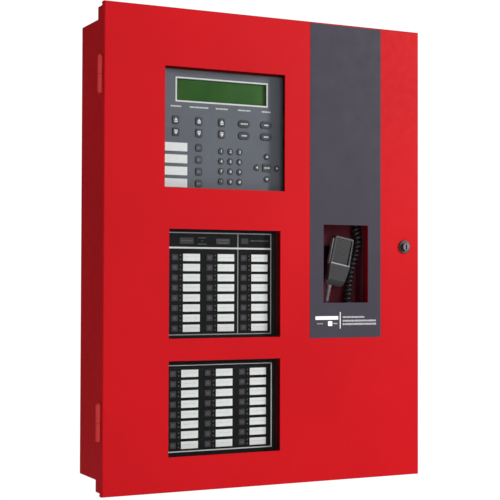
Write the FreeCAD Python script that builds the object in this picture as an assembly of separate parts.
import FreeCAD, Part

import math
import os

from FreeCAD import Vector

# Wall-mounted fire alarm control panel with a glazed door, an annunciator keypad and a paging microphone.
# Frame: millimetres, +Z up, origin at the centre of the back (wall) face, front towards -Y.
# Most depths are given as a distance behind the door's front face and turned into Y by behind().
# Each node is written to its own STEP file in parts/.

# ---------------------------------------------------------------- driving dimensions

DOOR_WIDTH = 508.0
DOOR_HEIGHT = 673.0
CABINET_DEPTH = 120.65  # wall to the door's front face
SHEET = 1.5  # thickness of every folded steel sheet
BEND_RADIUS = 2.0  # outside radius of a fold

DOOR_FLANGE = 15.0  # top, bottom and right flanges
DOOR_LEFT_FLANGE = 9.0  # shorter, so that it clears the hinge knuckles

COLLAR_WIDTH = 502.5
COLLAR_HEIGHT = 668.0
COLLAR_FRONT = 11.0  # depth of the collar's front lip
COLLAR_BACK = 33.0  # depth of the collar's back edge
COLLAR_LIP = 10.0  # how far the front lip reaches inwards

BOX_WIDTH = 488.0
BOX_HEIGHT = 642.0
BOX_RETURN = 14.0  # front return of the box, which the dead front is screwed to

DEAD_FRONT_DEPTH = 25.0
DEAD_FRONT_MARGIN = 3.0  # gap between the dead front's edge and the box's outside
CABLE_SLOT = (60.0, 25.0, 4.0)  # width, height and corner radius of the slot behind each module
SCREW_ROWS = (-290, -100, 100, 290)
SCREW_INSET = 8.0  # from the box's outside to a screw's centre
SCREW_HOLE_RADIUS = 2.2
SCREW_SHANK_RADIUS = 2.0
SCREW_HEAD_RADIUS = 3.8
SCREW_HEAD_HEIGHT = 2.4
SCREW_RECESS = (4.4, 0.9, 1.2)  # length and width of each bar of the cross recess, and its depth
MODULE_DEPTH = 18.0  # depth of the faces of the annunciator and the switch modules

COLUMN_X = -70.5  # centre line of the three glazed windows

# Door windows as (centre x, centre z, width, height).
ANNUNCIATOR_WINDOW = (COLUMN_X, 170.0, 188.0, 169.0)
UPPER_WINDOW = (COLUMN_X, -48.25, 174.0, 152.5)
LOWER_WINDOW = (COLUMN_X, -221.75, 174.0, 132.5)
MICROPHONE_WINDOW = (125.75, -18.5, 76.5, 115.0)
PANE_THICKNESS = 3.0
PANE_OVERLAP = 5.0

STRIP_LEFT = 65.0
STRIP_RIGHT = 186.0
STRIP_BOTTOM = -127.5
STRIP_THICKNESS = 0.4

# Hinges
HINGE_Z = 237.0  # height of each hinge's centre, above and below the middle
HINGE_LENGTH = 50.0
KNUCKLE_RADIUS = 4.0
PIN_RADIUS = 2.0
PIN_CLEARANCE = 0.05
KNUCKLE_GAP = 0.5
NOTCH_CLEARANCE = 3.0  # how far the door's notch reaches past the knuckles' ends
PIN_HEAD_OVERHANG = 0.8
PIN_HEAD_HEIGHT = 1.5
PIN_HEAD_GAP = 0.3  # between the pin's head and the top knuckle
LEAF_END = 28.0  # depth where the collar's leaves end
HINGE_X = -255.5
HINGE_DEPTH = 10.5

# Lock
LOCK_X = 228.0
LOCK_Z = 8.0
LOCK_FLANGE_RADIUS = 10.0
LOCK_FLANGE_PROUD = 2.5
LOCK_BARREL_RADIUS = 7.5
LOCK_BARREL_BACK = 13.5  # depth of the barrel's back end
LOCK_NUT_RIM = 0.9
LOCK_NUT_THICKNESS = 3.5
KEY_SLOT = (1.8, 7.6)
PLUG_RADIUS = 6.0
PLUG_CLEARANCE = 0.05
PLUG_PROUD = 6.5
CAM_DEPTH = 14.5
CAM_THICKNESS = 2.0
CAM_REACH = 18.0
CAM_WIDTH = 11.0
CAM_SQUARE = 6.0
CAM_HUB_RADIUS = 7.5

# Annunciator
BEZEL_WIDTH = 199.0
BEZEL_TOP = 254.0
BEZEL_BOTTOM = 76.0
BEZEL_CENTRE_X = -68.5
BEZEL_SKIN = 3.0  # face thickness in front of the key flanges
LCD_CENTRE_Z = 225.5
LCD_WIDTH = 141.0
LCD_HEIGHT = 31.0
LCD_RECESS = 4.5
LCD_SEAT = 2.0  # how far the display reaches behind the bezel all round
KEY_PROUD = 1.5
KEY_GAP = 0.35  # clearance round a key's cap
KEY_FLANGE = 0.9  # how far the retaining flange stands out round a cap
KEY_FLANGE_THICKNESS = 0.8

KEY_COLUMN_X = -141.0
KEY_COLUMN_PITCH = 35.6
KEY_ROW_Z = 181.8
KEY_ROW_PITCH = 17.0
FUNCTION_KEY_Z = 144.1
FUNCTION_KEY_PITCH = 16.9
PAD_X = -70.4
PAD_Z = 140.9
PAD_PITCH_X = 14.6
PAD_PITCH_Z = 14.4
NAV_X = 2.8
NAV_Z = 119.8
NAV_PITCH = 16.3
CARD_X = -142.0
CARD_SIZE = (38.0, 12.0)

# Switch modules: three columns of eight membrane switches, each with two lamps and a card
MODULE_WIDTH = 179.0
MODULE_HEIGHT_UPPER = 163.0
MODULE_HEIGHT_LOWER = 142.5
SWITCH_ROWS = 8
SWITCH_COLUMNS = 3
SWITCH_PITCH_X = 53.6
SWITCH_SIZE = (9.5, 8.5)
SWITCH_EMBOSS = 0.5
LAMP_OFFSET_X = 9.2
LAMP_OFFSET_Z = 2.9
LAMP_RADIUS = 1.1
LAMP_PROUD = 0.3
LABEL_OFFSET_X = 25.9
LABEL_SIZE = (26.0, 10.2)
LABEL_THICKNESS = 0.3
UPPER_SWITCH = (-141.7, -11.2, 14.26)  # first column x, first row z, row pitch
LOWER_SWITCH = (-143.8, -174.4, 14.33)

# Microphone well
WELL_LEFT = 84.0
WELL_RIGHT = 170.0
WELL_TOP = 50.0
WELL_BOTTOM = -114.0
WELL_BACK = 46.0  # depth of its back wall's front face
WELL_FLANGE = 10.0
WELL_HOLE_MARGIN = 5.5  # how much larger than the well the dead front's hole is, on each side

# Microphone, drawn upright about a middle point and then tilted in its hanger
MIC_CENTRE = (123.0, -21.6)
MIC_TILT = 11.5
MIC_FRONT = 12.0
MIC_SPLIT = 18.5
MIC_BACK = 31.0
MIC_TOP = 45.0
MIC_BOTTOM = -31.0
MIC_TOP_HALF_WIDTH = 17.6
MIC_RIDGE_HALF_WIDTH = 18.5
MIC_BOTTOM_HALF_WIDTH = 13.8
MIC_TOP_CORNER = 3.0
MIC_BOTTOM_CORNER = 4.0
MIC_RIM = 1.9  # rounding of the front's outer edge
MIC_FRONT_INSET = 1.5  # how much smaller the outline is at the front
MIC_BACK_INSET = 6.0  # and at the back
# Side view of the shell, as (depth behind its front, height).
MIC_CHIN = (2.5, -20.0)  # where the lower part's slope ends
MIC_HEEL = (10.0, -31.0)  # where the rounded bottom end starts
MIC_SIDE_RADII = (2.0, 2.0, 9.0, 4.0, 4.0, 4.0)  # top front, ridge, chin, heel, bottom back, top back
# The grille panel is sunk into the front, deepest above the ridge, which is its sloping lower edge.
PANEL_HALF_WIDTH = 13.6
PANEL_TOP = 40.0
PANEL_SUNK = (1.2, 2.2)  # at its top and at the ridge
RIDGE_HEIGHTS = (0.6, 4.2)
HANG_HEIGHT = 24.0  # height of the hang-up button above the middle point
HANG_NECK_RADIUS = 3.0
HANG_DISC_RADIUS = 6.0
HANG_NECK_LENGTH = 6.0
HANG_DISC_THICKNESS = 2.0
HANGER_SIZE = (16.0, 20.0)
HANGER_DROP = 3.0  # from the button down to the bracket's middle
HANGER_GAP = 2.0  # between the microphone's back and the bracket
HANGER_FOOT = 3.5
TALK_TRAVEL = 2.0
TALK_THICKNESS = 3.6
TALK_POCKET_FLOOR = -12.9  # how far left of the middle the talk button's pocket starts
TALK_DEPTHS = (14.0, 20.5)  # front and back
TALK_HEIGHTS = (0.5, 38.5)  # bottom and top end, from the middle point
TALK_GAP = 0.3  # clearance round the button

# Curly cord: one fat tube of the coil's outside diameter
CORD_DEPTH = 24.0  # where the cord leaves the microphone
RELIEF_LENGTH = 24.0
RELIEF_FIRST_GROOVE = 5.0  # below the relief's top
RELIEF_CORE_RADIUS = 3.2  # at the bottom of the first groove
RELIEF_CORE_TAPER = 0.18  # less at each further groove
RELIEF_OFFSET = -6.3  # how far left of the microphone's middle it comes out
RELIEF_RADII = (4.0, 3.0)  # at the microphone and at the tip
RELIEF_GROOVES = 4
RELIEF_GROOVE_PITCH = 4.0
RELIEF_GROOVE_WIDTH = 1.4
COIL_DIAMETER = 12.0
GLAND_CENTRE = (162.5, 33.0)  # x, depth
GLAND_BOTTOM = 42.0
GLAND_RADIUS = 3.5
GLAND_COLLAR = (5.5, 4.0)  # radius and height of the collar under the well's top wall
# Route from the microphone's strain relief to the gland, as (x, depth, z).
CORD_ROUTE = [
    (106.06, 24.0, -73.29),
    (104.07, 24.0, -83.07),
    (107.0, 24.5, -96.0),
    (117.5, 25.5, -105.0),
    (131.0, 26.5, -105.0),
    (141.0, 27.0, -95.5),
    (144.3, 27.0, -82.0),
    (145.6, 27.0, -66.0),
    (150.8, 27.0, -31.0),
    (155.0, 27.0, -15.0),
    (160.0, 27.0, -1.5),
    (163.0, 27.0, 13.0),
    (163.6, 28.5, 25.0),
    (162.5, 33.0, 34.0),
    (162.5, 33.0, 42.0),
]

# Inside the box
BOARD_THICKNESS = 1.6
BATTERY_SIZE = (151.0, 65.0, 94.0)
WALL_HOLE_RADIUS = 4.0
WALL_HOLE_SPACING = (406.4, 508.0)
KNOCKOUT_RADII = (11.1, 14.1)
KNOCKOUT_GROOVE = 0.5


# ---------------------------------------------------------------- helpers


def behind(depth):
    """The Y of a plane that lies depth behind the door's front face."""
    return depth - CABINET_DEPTH


def block(x0, x1, y0, y1, z0, z1):
    """A box between two corners, in any order."""
    low = Vector(min(x0, x1), min(y0, y1), min(z0, z1))
    return Part.makeBox(abs(x1 - x0), abs(y1 - y0), abs(z1 - z0), low)


def slab(centre_x, centre_z, width, height, front, back):
    """A box given by its centre and size as seen from the front, and its depths."""
    half_w = width / 2
    half_h = height / 2
    low = centre_z - half_h
    high = centre_z + half_h
    return block(centre_x - half_w, centre_x + half_w, behind(front), behind(back), low, high)


def peg(x, z, radius, front, back):
    """A round peg along Y between two depths."""
    return Part.makeCylinder(radius, back - front, Vector(x, behind(front), z), Vector(0, 1, 0))


def fuse_all(shapes):
    """One shape from several that touch or overlap."""
    joined = shapes[0].multiFuse(shapes[1:]) if len(shapes) > 1 else shapes[0]
    return joined.removeSplitter()


def edges_along(shape, axis, keep):
    """The straight edges of a shape that run along an axis and that keep() accepts."""
    found = []
    for edge in shape.Edges:
        if edge.Curve.TypeId != "Part::GeomLine" or len(edge.Vertexes) != 2:
            continue
        along = edge.Vertexes[1].Point - edge.Vertexes[0].Point
        along.normalize()
        if abs(abs(along.dot(axis)) - 1.0) < 1e-6 and keep(edge):
            found.append(edge)
    return found


def rounded_slab(centre_x, centre_z, width, height, radius, front, back):
    """A slab whose four corners, seen from the front, are rounded."""
    body = slab(centre_x, centre_z, width, height, front, back)
    corners = edges_along(body, Vector(0, 1, 0), lambda edge: True)
    return body.makeFillet(radius, corners)


def soften(shape, depth, radius):
    """Round the edges that lie in the plane at that depth."""
    y = behind(depth)
    edges = [e for e in shape.Edges if all(abs(v.Point.y - y) < 1e-6 for v in e.Vertexes)]
    return shape.makeFillet(radius, edges)


def write(name, shapes):
    """Write one node: a single solid, or a group of separate ones."""
    shape = shapes if isinstance(shapes, Part.Shape) else Part.makeCompound(shapes)
    for solid in shape.Solids:
        if not solid.isValid():
            raise ValueError(f"{name} has a bad solid")
    shape.exportStep(f"parts/{name}.step")


# ---------------------------------------------------------------- sheet-metal cabinet


def make_back_box():
    """Open box, with a return round its front, wall holes and conduit knock-outs."""
    front = DEAD_FRONT_DEPTH + SHEET
    body = slab(0, 0, BOX_WIDTH, BOX_HEIGHT, front, CABINET_DEPTH)
    folds = edges_along(body, Vector(0, 1, 0), lambda edge: True)
    body = body.makeFillet(BEND_RADIUS, folds)
    inside = slab(0, 0, BOX_WIDTH - 2 * SHEET, BOX_HEIGHT - 2 * SHEET, front + SHEET, CABINET_DEPTH - SHEET)
    mouth = slab(
        0, 0, BOX_WIDTH - 2 * BOX_RETURN, BOX_HEIGHT - 2 * BOX_RETURN, front - SHEET, front + 2 * SHEET
    )
    body = body.cut([inside, mouth])
    holes = []
    for x in (-WALL_HOLE_SPACING[0] / 2, WALL_HOLE_SPACING[0] / 2):
        for z in (-WALL_HOLE_SPACING[1] / 2, WALL_HOLE_SPACING[1] / 2):
            holes.append(peg(x, z, WALL_HOLE_RADIUS, CABINET_DEPTH - 2 * SHEET, CABINET_DEPTH + SHEET))
    return body.cut(holes + knockout_grooves())


def knockout_grooves():
    """Ring grooves that mark the knock-outs: three in the top and three in the bottom."""
    grooves = []
    half_h = BOX_HEIGHT / 2
    middle = (behind(COLLAR_BACK) - SHEET) / 2
    walls = []
    for x in (-150, 0, 150):
        walls.append((Vector(x, middle, half_h), Vector(0, 0, -1)))
        walls.append((Vector(x, middle, -half_h), Vector(0, 0, 1)))
    for place, inwards in walls:
        for radius in KNOCKOUT_RADII:
            ring = Part.makeCylinder(radius + 0.5, KNOCKOUT_GROOVE, place, inwards)
            core = Part.makeCylinder(radius - 0.5, KNOCKOUT_GROOVE, place, inwards)
            grooves.append(ring.cut(core))
    return grooves


def make_front_collar():
    """Frame ring round the box's front: an outer wall with a back flange that meets the box."""
    outer = slab(0, 0, COLLAR_WIDTH, COLLAR_HEIGHT, COLLAR_FRONT, COLLAR_BACK)
    outer = outer.makeFillet(BEND_RADIUS, edges_along(outer, Vector(0, 1, 0), lambda edge: True))
    inside = collar_inside(COLLAR_FRONT - SHEET, COLLAR_BACK - SHEET)
    box = slab(0, 0, BOX_WIDTH, BOX_HEIGHT, COLLAR_BACK - 2 * SHEET, COLLAR_BACK + SHEET)
    box = box.makeFillet(BEND_RADIUS, edges_along(box, Vector(0, 1, 0), lambda edge: True))
    return outer.cut([inside, box])


def make_collar_lip():
    """Flat lip welded inside the collar's front edge: the door closes on it, the lock catches behind it."""
    width = COLLAR_WIDTH - 2 * COLLAR_LIP
    height = COLLAR_HEIGHT - 2 * COLLAR_LIP
    mouth = slab(0, 0, width, height, COLLAR_FRONT - SHEET, COLLAR_FRONT + 2 * SHEET)
    return collar_inside(COLLAR_FRONT, COLLAR_FRONT + SHEET).cut(mouth)


def collar_inside(front, back):
    """The space inside the collar's outer wall."""
    return slab(0, 0, COLLAR_WIDTH - 2 * SHEET, COLLAR_HEIGHT - 2 * SHEET, front, back)


def make_dead_front():
    """Flat inner panel with a cut-out for the microphone well and a cable slot behind each module."""
    width = BOX_WIDTH - 2 * DEAD_FRONT_MARGIN
    height = BOX_HEIGHT - 2 * DEAD_FRONT_MARGIN
    front = DEAD_FRONT_DEPTH
    back = DEAD_FRONT_DEPTH + SHEET
    panel = rounded_slab(0, 0, width, height, BEND_RADIUS, front, back)
    cuts = [
        block(
            WELL_LEFT - WELL_HOLE_MARGIN,
            WELL_RIGHT + WELL_HOLE_MARGIN,
            behind(front - 1),
            behind(back + 1),
            WELL_BOTTOM - WELL_HOLE_MARGIN,
            WELL_TOP + WELL_HOLE_MARGIN,
        )
    ]
    for z in (ANNUNCIATOR_WINDOW[1], UPPER_WINDOW[1], LOWER_WINDOW[1]):
        cuts.append(rounded_slab(COLUMN_X, z, *CABLE_SLOT, front - 1, back + 1))
    for x, z in screw_places():
        cuts.append(peg(x, z, SCREW_HOLE_RADIUS, front - 1, back + 1))
    return panel.cut(cuts)


def screw_places():
    """Where the dead front is screwed to the box's return."""
    x = BOX_WIDTH / 2 - SCREW_INSET
    return [(side * x, z) for side in (-1, 1) for z in SCREW_ROWS]


def make_dead_front_screws():
    """Pan-head screws whose shanks pass through the dead front's holes and stop short of the return."""
    screws = []
    top = DEAD_FRONT_DEPTH - SCREW_HEAD_HEIGHT
    length, width, sunk = SCREW_RECESS
    for x, z in screw_places():
        head = peg(x, z, SCREW_HEAD_RADIUS, top, DEAD_FRONT_DEPTH)
        head = soften(head, top, 1.0)
        shank = peg(x, z, SCREW_SHANK_RADIUS, DEAD_FRONT_DEPTH, DEAD_FRONT_DEPTH + SHEET)
        recess = [
            slab(x, z, length, width, top - 1, top + sunk),
            slab(x, z, width, length, top - 1, top + sunk),
        ]
        screws.append(fuse_all([head, shank]).cut(recess))
    return screws


def make_microphone_well():
    """Open pan behind the dead front, held by a flange round its mouth."""
    centre_x = (WELL_LEFT + WELL_RIGHT) / 2
    centre_z = (WELL_BOTTOM + WELL_TOP) / 2
    width = WELL_RIGHT - WELL_LEFT
    height = WELL_TOP - WELL_BOTTOM
    mouth = DEAD_FRONT_DEPTH + SHEET
    shell = slab(centre_x, centre_z, width + 2 * SHEET, height + 2 * SHEET, mouth, WELL_BACK + SHEET)
    flange = slab(centre_x, centre_z, width + 2 * WELL_FLANGE, height + 2 * WELL_FLANGE, mouth, mouth + SHEET)
    hollow = slab(centre_x, centre_z, width, height, mouth - SHEET, WELL_BACK)
    gland_hole = Part.makeCylinder(GLAND_RADIUS + 0.1, 4 * SHEET, gland_point(WELL_TOP - SHEET))
    return fuse_all([shell, flange]).cut([hollow, gland_hole])


# ---------------------------------------------------------------- door


def window_hole(window, front, back):
    centre_x, centre_z, width, height = window
    return slab(centre_x, centre_z, width, height, front, back)


def make_door_shell():
    """Folded door: front sheet, three deep flanges, a short left flange notched for the hinges."""
    half_w = DOOR_WIDTH / 2
    outer = slab(0, 0, DOOR_WIDTH, DOOR_HEIGHT, 0, DOOR_FLANGE)
    outer = soften(outer, 0, BEND_RADIUS)
    inside = slab(0, 0, DOOR_WIDTH - 2 * SHEET, DOOR_HEIGHT - 2 * SHEET, SHEET, DOOR_FLANGE + SHEET)
    top = DOOR_HEIGHT / 2 + 1
    relief_front = behind(DOOR_LEFT_FLANGE)
    relief_back = behind(DOOR_FLANGE + SHEET)
    left_relief = block(-half_w - SHEET, -half_w + SHEET, relief_front, relief_back, -top, top)
    cuts = [inside, left_relief]
    for window in (ANNUNCIATOR_WINDOW, UPPER_WINDOW, LOWER_WINDOW, MICROPHONE_WINDOW):
        cuts.append(window_hole(window, -1, DOOR_FLANGE + SHEET))
    notch_front = behind(HINGE_DEPTH - KNUCKLE_RADIUS - 1)
    notch_back = behind(DOOR_FLANGE)
    for z in (-HINGE_Z, HINGE_Z):
        low = z - HINGE_LENGTH / 2 - NOTCH_CLEARANCE
        high = z + HINGE_LENGTH / 2 + NOTCH_CLEARANCE
        cuts.append(block(-half_w - 1, -half_w + SHEET, notch_front, notch_back, low, high))
    cuts.append(peg(LOCK_X, LOCK_Z, LOCK_BARREL_RADIUS + 0.1, -1, 2 * SHEET))
    return outer.cut(cuts)


def make_window_panes():
    """Clear panes behind the three glazed windows."""
    panes = []
    back = SHEET + PANE_THICKNESS
    for centre_x, centre_z, window_width, window_height in (ANNUNCIATOR_WINDOW, UPPER_WINDOW, LOWER_WINDOW):
        width = window_width + 2 * PANE_OVERLAP
        height = window_height + 2 * PANE_OVERLAP
        panes.append(slab(centre_x, centre_z, width, height, SHEET, back))
    return panes


def make_graphic_strip():
    """Overlay from the door's top edge down past the microphone's window."""
    top = DOOR_HEIGHT / 2 - BEND_RADIUS
    strip = block(STRIP_LEFT, STRIP_RIGHT, behind(-STRIP_THICKNESS), behind(0), STRIP_BOTTOM, top)
    return strip.cut(window_hole(MICROPHONE_WINDOW, -1, 1))


def hinge_knuckle(z_low, z_high):
    """Plain knuckle tube, before its bore."""
    return Part.makeCylinder(KNUCKLE_RADIUS, z_high - z_low, Vector(HINGE_X, behind(HINGE_DEPTH), z_low))


def hinge_bore(radius, z):
    low = Vector(HINGE_X, behind(HINGE_DEPTH), z - HINGE_LENGTH)
    return Part.makeCylinder(radius, 2 * HINGE_LENGTH, low)


def make_collar_hinge_leaves():
    """Lower knuckle of each hinge, with a leaf welded to the outside of the collar."""
    leaves = []
    wall = -COLLAR_WIDTH / 2
    tail_front = behind(HINGE_DEPTH + KNUCKLE_RADIUS + 0.5)
    for z in (-HINGE_Z, HINGE_Z):
        low = z - HINGE_LENGTH / 2
        middle = z - KNUCKLE_GAP / 2
        high = z + HINGE_LENGTH / 2
        knuckle = hinge_knuckle(low, middle).cut(collar_keep_out())
        leaf = block(wall - SHEET, wall, behind(COLLAR_FRONT), behind(LEAF_END), low, middle)
        tail = block(wall - SHEET, wall, tail_front, behind(LEAF_END), middle, high)
        body = fuse_all([knuckle, leaf, tail])
        leaves.append(body.cut(hinge_bore(PIN_RADIUS, z)))
    return leaves


def collar_keep_out():
    """The space of the collar's left wall, which a knuckle may not enter."""
    wall = -COLLAR_WIDTH / 2
    return block(wall, wall + 10, behind(0), behind(COLLAR_BACK), -DOOR_HEIGHT, DOOR_HEIGHT)


def make_door_hinge_leaves():
    """Upper knuckle of each hinge, with a leaf welded inside the door's left flange."""
    leaves = []
    inner = -DOOR_WIDTH / 2 + SHEET
    for z in (-HINGE_Z, HINGE_Z):
        low = z + KNUCKLE_GAP / 2
        high = z + HINGE_LENGTH / 2
        knuckle = hinge_knuckle(low, high).cut(collar_keep_out())
        leaf = block(inner, inner + SHEET, behind(SHEET), behind(HINGE_DEPTH), low, high)
        leaves.append(fuse_all([knuckle, leaf]).cut(hinge_bore(PIN_RADIUS + PIN_CLEARANCE, z)))
    return leaves


def make_hinge_pins():
    """One pin through both knuckles of each hinge, with a domed head on top."""
    pins = []
    for z in (-HINGE_Z, HINGE_Z):
        low = Vector(HINGE_X, behind(HINGE_DEPTH), z - HINGE_LENGTH / 2)
        length = HINGE_LENGTH + PIN_HEAD_GAP
        shank = Part.makeCylinder(PIN_RADIUS, length, low)
        head_bottom = low + Vector(0, 0, length)
        head = Part.makeCylinder(PIN_RADIUS + PIN_HEAD_OVERHANG, PIN_HEAD_HEIGHT, head_bottom)
        pins.append(fuse_all([shank, head]))
    return pins


# ---------------------------------------------------------------- lock


def make_lock_barrel():
    """Flanged barrel through the door sheet, bored for the plug."""
    flange = peg(LOCK_X, LOCK_Z, LOCK_FLANGE_RADIUS, -LOCK_FLANGE_PROUD, 0)
    flange = soften(flange, -LOCK_FLANGE_PROUD, 1.2)
    barrel = peg(LOCK_X, LOCK_Z, LOCK_BARREL_RADIUS, 0, LOCK_BARREL_BACK)
    nut = peg(LOCK_X, LOCK_Z, LOCK_BARREL_RADIUS + LOCK_NUT_RIM, SHEET, SHEET + LOCK_NUT_THICKNESS)
    bore = peg(LOCK_X, LOCK_Z, PLUG_RADIUS + PLUG_CLEARANCE, -10, 30)
    return fuse_all([flange, barrel, nut]).cut(bore)


def make_lock_plug():
    """Turning plug with a key slot in its face and a square tail for the cam."""
    plug = peg(LOCK_X, LOCK_Z, PLUG_RADIUS, -PLUG_PROUD, CAM_DEPTH)
    plug = soften(plug, -PLUG_PROUD, 0.6)
    tail = slab(LOCK_X, LOCK_Z, CAM_SQUARE, CAM_SQUARE, CAM_DEPTH, CAM_DEPTH + CAM_THICKNESS + 1.5)
    slot = slab(LOCK_X, LOCK_Z, *KEY_SLOT, -PLUG_PROUD - 1, 6)
    return fuse_all([plug, tail]).cut(slot)


def make_lock_cam():
    """Cam, drawn unlocked: it points down, clear of the collar's lip."""
    hub = peg(LOCK_X, LOCK_Z, CAM_HUB_RADIUS, CAM_DEPTH, CAM_DEPTH + CAM_THICKNESS)
    arm_z = LOCK_Z - CAM_REACH / 2
    arm = slab(LOCK_X, arm_z, CAM_WIDTH, CAM_REACH, CAM_DEPTH, CAM_DEPTH + CAM_THICKNESS)
    square = slab(LOCK_X, LOCK_Z, CAM_SQUARE, CAM_SQUARE, CAM_DEPTH - 1, CAM_DEPTH + 2 * CAM_THICKNESS)
    return fuse_all([hub, arm]).cut(square)


# ---------------------------------------------------------------- annunciator

# Each key is (name, centre x, centre z, width, height, corner radius).
ARROW_KEY = (10.6, 11.6, 2.6)
OVAL_KEY = (18.6, 10.6, 5.0)
FUNCTION_KEY = (10.4, 10.8, 3.2)
ROUND_KEY = (9.0, 9.0, 4.4)
ENTER_KEY = (14.6, 11.6, 2.6)


def key_layout():
    """Every moving key of the annunciator."""
    keys = []
    for column, group in enumerate(("alarm", "supervisory", "trouble")):
        for row, way in enumerate(("up", "down")):
            x = KEY_COLUMN_X + column * KEY_COLUMN_PITCH
            keys.append((f"{group}_{way}_key", x, KEY_ROW_Z - row * KEY_ROW_PITCH) + ARROW_KEY)
    ovals = (("silence", "reset"), ("acknowledge", "cancel"))
    for column, names in enumerate(ovals):
        for row, name in enumerate(names):
            x = KEY_COLUMN_X + (column + 3) * KEY_COLUMN_PITCH
            keys.append((f"{name}_key", x, KEY_ROW_Z - row * KEY_ROW_PITCH) + OVAL_KEY)
    for row in range(4):
        z = FUNCTION_KEY_Z - row * FUNCTION_KEY_PITCH
        keys.append((f"function_{row + 1}_key", KEY_COLUMN_X + KEY_COLUMN_PITCH, z) + FUNCTION_KEY)
    pad = (("digit_1", "digit_2", "digit_3"), ("digit_4", "digit_5", "digit_6"))
    pad += (("digit_7", "digit_8", "digit_9"), ("star", "digit_0", "hash"))
    for row, names in enumerate(pad):
        for column, name in enumerate(names):
            x = PAD_X + column * PAD_PITCH_X
            keys.append((f"{name}_key", x, PAD_Z - row * PAD_PITCH_Z) + ROUND_KEY)
    for name, across, up in (("up", 0, 1), ("down", 0, -1), ("left", -1, 0), ("right", 1, 0)):
        x = NAV_X + across * NAV_PITCH
        keys.append((f"nav_{name}_key", x, NAV_Z + up * NAV_PITCH) + ROUND_KEY)
    keys.append(("nav_enter_key", NAV_X, NAV_Z) + ENTER_KEY)
    return keys


def key_space(key, gap, front, back):
    """The space of a key's outline, larger by a gap all round, between two depths."""
    x, z, width, height, radius = key
    return rounded_slab(x, z, width + 2 * gap, height + 2 * gap, radius + gap, front, back)


def make_key(key):
    """A cap that stands proud of the bezel, with a flange behind the bezel's skin that keeps it in."""
    flange_front = MODULE_DEPTH + BEZEL_SKIN + 0.1
    flange_back = flange_front + KEY_FLANGE_THICKNESS
    cap = key_space(key, 0, MODULE_DEPTH - KEY_PROUD, flange_back)
    cap = soften(cap, MODULE_DEPTH - KEY_PROUD, 0.6)
    flange = key_space(key, KEY_FLANGE, flange_front, flange_back)
    return fuse_all([cap, flange])


def make_annunciator_bezel():
    """Housing of the display and the keys, with a stepped hole for each key."""
    height = BEZEL_TOP - BEZEL_BOTTOM
    centre_z = (BEZEL_TOP + BEZEL_BOTTOM) / 2
    body = slab(BEZEL_CENTRE_X, centre_z, BEZEL_WIDTH, height, MODULE_DEPTH, DEAD_FRONT_DEPTH)
    body = soften(body, MODULE_DEPTH, 1.0)
    lcd_front = MODULE_DEPTH + LCD_RECESS
    window = slab(BEZEL_CENTRE_X, LCD_CENTRE_Z, LCD_WIDTH, LCD_HEIGHT, MODULE_DEPTH - 1, lcd_front)
    cuts = [window, lcd_outline(lcd_front, DEAD_FRONT_DEPTH + 1)]
    for _, *key in key_layout():
        cuts.append(key_space(key, KEY_GAP, MODULE_DEPTH - 1, DEAD_FRONT_DEPTH))
        cuts.append(key_space(key, KEY_FLANGE + KEY_GAP, MODULE_DEPTH + BEZEL_SKIN, DEAD_FRONT_DEPTH + 1))
    return body.cut(cuts)


def lcd_outline(front, back):
    """The display module's outline between two depths."""
    width = LCD_WIDTH + 2 * LCD_SEAT
    height = LCD_HEIGHT + 2 * LCD_SEAT
    return slab(BEZEL_CENTRE_X, LCD_CENTRE_Z, width, height, front, back)


def make_lcd_display():
    """Display module seated behind the bezel's window."""
    return lcd_outline(MODULE_DEPTH + LCD_RECESS, DEAD_FRONT_DEPTH)


# ---------------------------------------------------------------- switch modules


def switch_places(layout):
    """Centre of every switch of a module."""
    first_x, first_z, pitch_z = layout
    places = []
    for column in range(SWITCH_COLUMNS):
        for row in range(SWITCH_ROWS):
            places.append((first_x + column * SWITCH_PITCH_X, first_z - row * pitch_z))
    return places


def make_switch_face(window, height, layout):
    """One moulded face with an embossed square over each membrane switch."""
    centre_z = window[1]
    body = slab(COLUMN_X, centre_z, MODULE_WIDTH, height, MODULE_DEPTH, DEAD_FRONT_DEPTH)
    body = soften(body, MODULE_DEPTH, 0.8)
    squares = []
    for x, z in switch_places(layout):
        squares.append(rounded_slab(x, z, *SWITCH_SIZE, 1.0, MODULE_DEPTH - SWITCH_EMBOSS, MODULE_DEPTH))
    return fuse_all([body] + squares)


def make_switch_faces():
    """The faces of both switch modules, as two separate solids."""
    upper = make_switch_face(UPPER_WINDOW, MODULE_HEIGHT_UPPER, UPPER_SWITCH)
    lower = make_switch_face(LOWER_WINDOW, MODULE_HEIGHT_LOWER, LOWER_SWITCH)
    return Part.makeCompound([upper, lower])


def make_label_cards():
    """Cards beside the function keys and beside each switch."""
    front = MODULE_DEPTH - LABEL_THICKNESS
    cards = []
    for row in range(4):
        z = FUNCTION_KEY_Z - row * FUNCTION_KEY_PITCH
        cards.append(slab(CARD_X, z, *CARD_SIZE, front, MODULE_DEPTH))
    for layout in (UPPER_SWITCH, LOWER_SWITCH):
        for x, z in switch_places(layout):
            cards.append(slab(x + LABEL_OFFSET_X, z, *LABEL_SIZE, front, MODULE_DEPTH))
    return cards


def make_status_leds():
    """Two small lamps beside each switch."""
    lamps = []
    front = MODULE_DEPTH - LAMP_PROUD
    for layout in (UPPER_SWITCH, LOWER_SWITCH):
        for x, z in switch_places(layout):
            for lamp_z in (z - LAMP_OFFSET_Z, z + LAMP_OFFSET_Z):
                lamps.append(peg(x + LAMP_OFFSET_X, lamp_z, LAMP_RADIUS, front, MODULE_DEPTH))
    return lamps


# ---------------------------------------------------------------- microphone


def tilt(shape):
    """Put a shape drawn about the microphone's middle point in its place."""
    placed = shape.copy()
    placed.rotate(Vector(0, 0, 0), Vector(0, 1, 0), MIC_TILT)
    placed.translate(Vector(MIC_CENTRE[0], 0, MIC_CENTRE[1]))
    return placed


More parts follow.
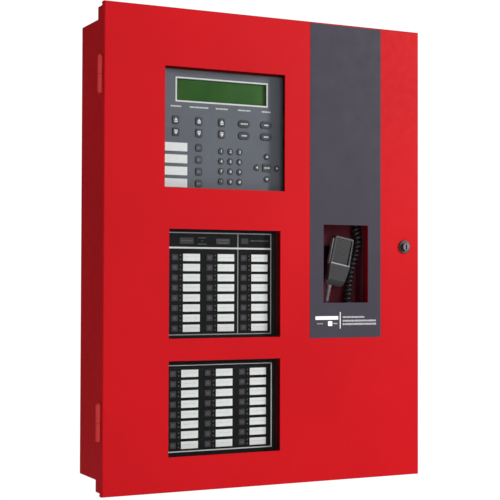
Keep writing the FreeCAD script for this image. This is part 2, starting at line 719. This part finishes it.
def tilted_point(across, up):
    """Where a point of the upright microphone goes when it is tilted, as x and z."""
    angle = math.radians(MIC_TILT)
    x = MIC_CENTRE[0] + across * math.cos(angle) + up * math.sin(angle)
    z = MIC_CENTRE[1] - across * math.sin(angle) + up * math.cos(angle)
    return x, z


def mic_outline(inset, depth):
    """Closed outline of the upright microphone: straight sides that taper below the middle point."""
    y = behind(depth)
    corners = [
        (MIC_TOP_HALF_WIDTH - inset, MIC_TOP - inset),
        (MIC_RIDGE_HALF_WIDTH - inset, 0.0),
        (MIC_BOTTOM_HALF_WIDTH - inset, MIC_BOTTOM + inset),
    ]
    left = [(-x, z) for x, z in reversed(corners)]
    points = [Vector(x, y, z) for x, z in corners + left]
    return Part.makePolygon(points + [points[0]])


def mic_half(front_inset, front, back_inset, back):
    """Half of the microphone's shell, lofted between two outlines, with its corners rounded."""
    body = Part.makeLoft([mic_outline(front_inset, front), mic_outline(back_inset, back)], True, True)
    for sign, radius in ((1, MIC_TOP_CORNER), (-1, MIC_BOTTOM_CORNER)):
        corners = []
        for edge in body.Edges:
            first, last = (vertex.Point for vertex in edge.Vertexes)
            if abs(first.y - last.y) > 1 and sign * first.z > 15:
                corners.append(edge)
        body = body.makeFillet(radius, corners)
    return body


def across(points, half_width):
    """A prism along X from its side view, given as (depth, height)."""
    corners = [Vector(-half_width, behind(depth), height) for depth, height in points]
    return Part.Face(Part.makePolygon(corners + corners[:1])).extrude(Vector(2 * half_width, 0, 0))


def edge_across(shape, y, z):
    """The edge of a prism made by across() that runs along X at y, z."""
    for edge in shape.Edges:
        near, far = (vertex.Point for vertex in edge.Vertexes)
        if abs(near.x - far.x) > 1 and math.hypot(near.y - y, near.z - z) < 0.01:
            return edge
    raise ValueError("no edge there")


def mic_side_view():
    """Prism of the shell's side view, with rounded ends."""
    points = [
        (MIC_FRONT, MIC_TOP),
        (MIC_FRONT, RIDGE_HEIGHTS[0]),
        (MIC_FRONT + MIC_CHIN[0], MIC_CHIN[1]),
        (MIC_FRONT + MIC_HEEL[0], MIC_HEEL[1]),
        (MIC_BACK, MIC_BOTTOM),
        (MIC_BACK, MIC_TOP),
    ]
    side = across(points, 2 * MIC_TOP_HALF_WIDTH)
    for (depth, height), radius in zip(points, MIC_SIDE_RADII):
        side = side.makeFillet(radius, [edge_across(side, behind(depth), height)])
    return side


def mic_shape(front_inset, front, back_inset, back):
    """One half of the upright shell, with the pocket for the talk button."""
    half = mic_half(front_inset, front, back_inset, back)
    return half.common(mic_side_view()).cut(talk_pocket())


def make_mic_face():
    """Front half: a sunk grille panel, a ridge below it and a lower part that curves back."""
    body = mic_shape(MIC_FRONT_INSET, MIC_FRONT, 0.0, MIC_SPLIT)
    rim = []
    for edge in body.Edges:
        first, last = (vertex.Point for vertex in edge.Vertexes)
        sideways = min(abs(first.x), abs(last.x)) > MIC_RIDGE_HALF_WIDTH - MIC_FRONT_INSET - 1
        if sideways and max(first.y, last.y) < behind(MIC_FRONT) + 0.01 and abs(first.z - last.z) > 10:
            rim.append(edge)
    body = body.makeFillet(MIC_RIM, rim)
    sunk_top, sunk_low = PANEL_SUNK
    panel = across(
        [
            (MIC_FRONT - 1, RIDGE_HEIGHTS[0]),
            (MIC_FRONT, RIDGE_HEIGHTS[0]),
            (MIC_FRONT + sunk_low, RIDGE_HEIGHTS[1]),
            (MIC_FRONT + sunk_top, PANEL_TOP),
            (MIC_FRONT - 1, PANEL_TOP),
        ],
        PANEL_HALF_WIDTH,
    )
    top_corners = edges_along(panel, Vector(0, 1, 0), lambda edge: edge.Vertexes[0].Point.z > 15)
    return tilt(body.cut(panel.makeFillet(2.0, top_corners)))


def talk_pocket():
    """Pocket in the left side for the talk button, open to the left."""
    front = behind(TALK_DEPTHS[0] - TALK_GAP)
    back = behind(TALK_DEPTHS[1] + TALK_GAP)
    low = TALK_HEIGHTS[0] - TALK_GAP
    high = TALK_HEIGHTS[1] + TALK_GAP
    return block(TALK_POCKET_FLOOR, -2 * MIC_TOP_HALF_WIDTH, front, back, low, high)


def make_mic_shell():
    """Back half, with the hang-up button behind it."""
    body = mic_shape(0.0, MIC_SPLIT, MIC_BACK_INSET, MIC_BACK)
    disc_front = MIC_BACK + HANG_NECK_LENGTH
    neck = peg(0, HANG_HEIGHT, HANG_NECK_RADIUS, MIC_BACK - 3, disc_front)
    disc = peg(0, HANG_HEIGHT, HANG_DISC_RADIUS, disc_front, disc_front + HANG_DISC_THICKNESS)
    return tilt(fuse_all([body, neck, disc]))


def make_talk_button():
    """Bar in the microphone's left side, pressed in by the thumb."""
    outer = TALK_POCKET_FLOOR - TALK_GAP - TALK_TRAVEL - TALK_THICKNESS
    front, back = (behind(depth) for depth in TALK_DEPTHS)
    bar = block(outer, outer + TALK_THICKNESS, front, back, *TALK_HEIGHTS)
    outside = edges_along(bar, Vector(0, 0, 1), lambda edge: edge.Vertexes[0].Point.x < outer + 1)
    bar = bar.makeFillet(1.2, outside)
    return tilt(bar)


def make_mic_strain_relief():
    """Tapered boot below the microphone's bottom end, parallel to its long axis."""
    top = Vector(RELIEF_OFFSET, behind(CORD_DEPTH), MIC_BOTTOM + 1)
    down = Vector(0, 0, -1)
    boot = Part.makeCone(*RELIEF_RADII, RELIEF_LENGTH, top, down)
    grooves = []
    for step in range(RELIEF_GROOVES):
        ring_top = top + down * (RELIEF_FIRST_GROOVE + RELIEF_GROOVE_PITCH * step)
        ring = Part.makeCylinder(2 * RELIEF_RADII[0], RELIEF_GROOVE_WIDTH, ring_top, down)
        core_radius = RELIEF_CORE_RADIUS - RELIEF_CORE_TAPER * step
        core = Part.makeCylinder(core_radius, RELIEF_GROOVE_WIDTH, ring_top, down)
        grooves.append(ring.cut(core))
    return tilt(boot.cut(grooves))


def make_mic_hanger():
    """Bracket on the well's back wall: a raised plate with a slot that is open at the top."""
    x, z = tilted_point(0, HANG_HEIGHT)
    plate_front = MIC_BACK + HANGER_GAP
    plate_back = plate_front + SHEET
    slot_radius = HANG_NECK_RADIUS + 0.1
    width, height = HANGER_SIZE
    plate_z = z - HANGER_DROP
    low = plate_z - height / 2
    high = plate_z + height / 2
    plate = slab(x, plate_z, width, height, plate_front, plate_back)
    slot = peg(x, z, slot_radius, plate_front - 1, plate_back + 1)
    slot_top = slab(x, z + height / 2, 2 * slot_radius, height, plate_front - 1, plate_back + 1)
    parts = [plate]
    for side in (-1, 1):
        outer = x + side * width / 2
        inner = outer - side * SHEET
        foot = outer + side * HANGER_FOOT
        parts.append(block(outer, inner, behind(plate_front), behind(WELL_BACK), low, high))
        parts.append(block(outer, foot, behind(WELL_BACK - SHEET), behind(WELL_BACK), low, high))
    return fuse_all(parts).cut([slot, slot_top])


# ---------------------------------------------------------------- cord


def gland_point(z):
    return Vector(GLAND_CENTRE[0], behind(GLAND_CENTRE[1]), z)


def make_cord_gland():
    """Bush through the well's top wall."""
    collar_radius, collar_height = GLAND_COLLAR
    length = WELL_TOP + SHEET + 2 - GLAND_BOTTOM
    body = Part.makeCylinder(GLAND_RADIUS, length, gland_point(GLAND_BOTTOM))
    collar = Part.makeCylinder(collar_radius, collar_height, gland_point(WELL_TOP - collar_height))
    return fuse_all([body, collar])


def tube_path(points):
    """Straight runs joined by tangent arcs, each arc as large as its two runs allow."""
    edges = []
    radii = []
    start = points[0]
    for before, corner, after in zip(points, points[1:], points[2:]):
        run_in = before - corner
        run_out = after - corner
        shorter = min(run_in.Length, run_out.Length)
        turn = math.pi - run_in.getAngle(run_out)
        reach = 0.45 * shorter
        radii.append(reach / math.tan(turn / 2))
        run_in.normalize()
        run_out.normalize()
        first = corner + run_in * reach
        last = corner + run_out * reach
        inward = run_in + run_out
        inward.normalize()
        middle = corner + inward * (radii[-1] / math.cos(turn / 2) - radii[-1])
        edges.append(Part.LineSegment(start, first).toShape())
        edges.append(Part.Arc(first, middle, last).toShape())
        start = last
    edges.append(Part.LineSegment(start, points[-1]).toShape())
    return Part.Wire(edges), radii


def make_mic_cord():
    """The curly cord's outer shape."""
    points = [Vector(x, behind(depth), z) for x, depth, z in CORD_ROUTE]
    path, radii = tube_path(points)
    direction = points[1] - points[0]
    section = Part.Wire(Part.Circle(points[0], direction, COIL_DIAMETER / 2).toShape())
    tube = path.makePipeShell([section], True, False)
    expected = math.pi * (COIL_DIAMETER / 2) ** 2 * path.Length
    print("cord length", round(path.Length, 1), "volume ratio", round(tube.Volume / expected, 4))
    print("cord radii", [round(radius, 1) for radius in radii])
    return tube


# ---------------------------------------------------------------- inside the box


def board(centre_x, centre_z, width, height, front, post_end, parts):
    """A circuit board on four posts, with a few tall components given as (x, z, width, height, rise)."""
    back = front + BOARD_THICKNESS
    shapes = [slab(centre_x, centre_z, width, height, front, back)]
    post_x = width / 2 - 8
    post_z = height / 2 - 8
    for side_x in (-1, 1):
        for side_z in (-1, 1):
            near, far = sorted((post_end, front if post_end < front else back))
            shapes.append(peg(centre_x + side_x * post_x, centre_z + side_z * post_z, 3, near, far))
    for x, z, part_width, part_height, rise in parts:
        if rise > 0:
            shapes.append(slab(x, z, part_width, part_height, front - rise, front))
        else:
            shapes.append(slab(x, z, part_width, part_height, back, back - rise))
    return fuse_all(shapes)


def make_circuit_boards():
    """Main board on the box's back, and a board behind each module."""
    main_parts = [(x, 205, 34, 14, 12) for x in (-120, -70, -20, 30)]
    main_parts += [(-100, 20, 60, 40, 8), (0, 20, 40, 40, 6), (20, 120, 30, 30, 25)]
    boards = [board(-50, 90, 200, 280, 100, CABINET_DEPTH - SHEET, main_parts)]
    dead_front_back = DEAD_FRONT_DEPTH + SHEET
    for centre_z, height in ((170, 130), (-48, 130), (-150, 50)):
        parts = [(COLUMN_X, centre_z - 15, 50, 12, -10)]
        boards.append(board(COLUMN_X, centre_z, 150, height, dead_front_back + 8, dead_front_back, parts))
    return boards


def make_batteries():
    """Two sealed batteries side by side on the box's floor, each with two terminals."""
    width, depth, height = BATTERY_SIZE
    floor = -BOX_HEIGHT / 2 + SHEET
    batteries = []
    for left in (-width - 3, 3):
        case = block(left, left + width, -depth - 5, -5, floor, floor + height)
        terminals = []
        for x in (left + 12, left + width - 12):
            terminals.append(block(x - 3, x + 3, -20, -12, floor + height, floor + height + 6))
        batteries.append(fuse_all([case] + terminals))
    return batteries


# ---------------------------------------------------------------- nodes


def main():
    os.makedirs("parts", exist_ok=True)
    write("back_box", make_back_box())
    write("front_collar", make_front_collar())
    write("collar_lip", make_collar_lip())
    write("collar_hinge_leaves", make_collar_hinge_leaves())
    write("hinge_pins", make_hinge_pins())
    write("dead_front_panel", make_dead_front())
    write("dead_front_screws", make_dead_front_screws())
    write("microphone_well", make_microphone_well())
    write("mic_hanger", make_mic_hanger())
    write("cord_gland", make_cord_gland())
    write("mic_cord", make_mic_cord())
    write("annunciator_bezel", make_annunciator_bezel())
    write("lcd_display", make_lcd_display())
    write("switch_faces", make_switch_faces())
    write("label_cards", make_label_cards())
    write("status_leds", make_status_leds())
    write("circuit_boards", make_circuit_boards())
    write("batteries", make_batteries())
    write("door_shell", make_door_shell())
    write("door_hinge_leaves", make_door_hinge_leaves())
    write("graphic_strip", make_graphic_strip())
    write("window_panes", make_window_panes())
    write("lock_barrel", make_lock_barrel())
    write("lock_plug", make_lock_plug())
    write("lock_cam", make_lock_cam())
    write("mic_shell", make_mic_shell())
    write("mic_face", make_mic_face())
    write("mic_strain_relief", make_mic_strain_relief())
    write("talk_button", make_talk_button())
    for name, *key in key_layout():
        write(name, make_key(key))


main()
